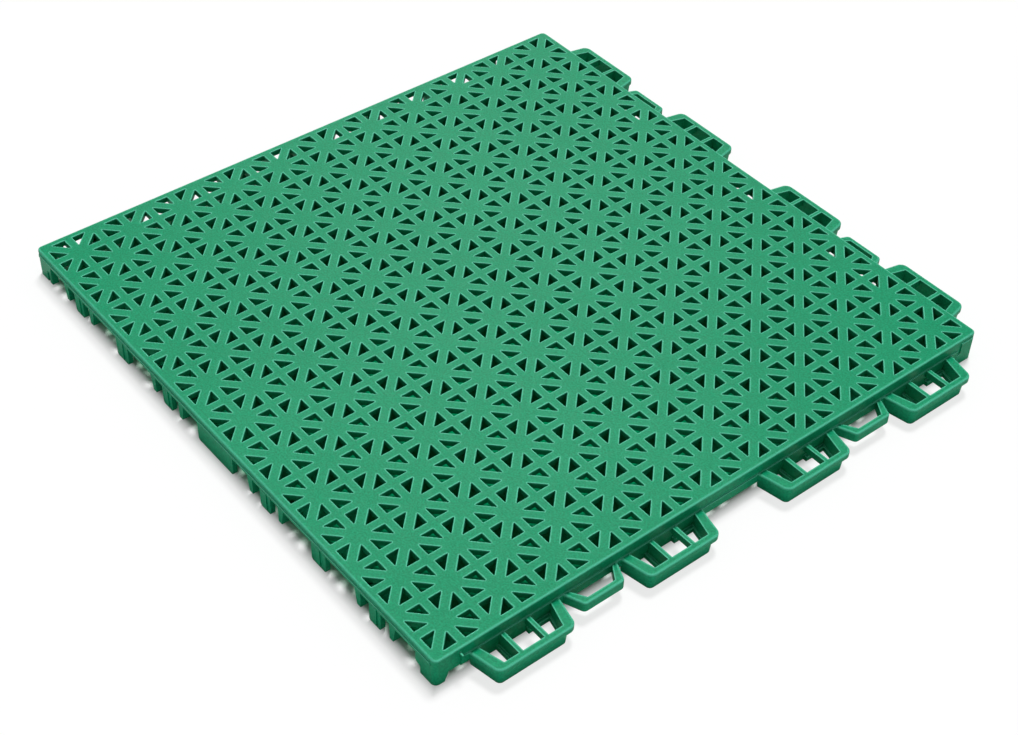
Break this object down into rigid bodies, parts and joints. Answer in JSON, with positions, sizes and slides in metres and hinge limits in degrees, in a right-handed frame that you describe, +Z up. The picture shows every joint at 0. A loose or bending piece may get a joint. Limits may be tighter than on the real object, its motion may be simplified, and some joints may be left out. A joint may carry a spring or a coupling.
{
  "type": "interlocking sports floor tile",
  "caption": "Square moulded plastic floor tile with an open star lattice deck on short posts, snap loops on two edges and matching prongs on the other two.",
  "frame": {"origin": "on the floor under the middle of the deck, at the foot of the middle post", "axes": "+Z up from the floor to the deck, +X and +Y out of the two edges that carry loops"},
  "size_m": [0.3203, 0.3203, 0.0143],
  "materials": {
    "tile": "fine matte grain, green"
  },
  "bodies": {
    "root": {"floor_tile": "tile"}
  },
  "joints": []
}
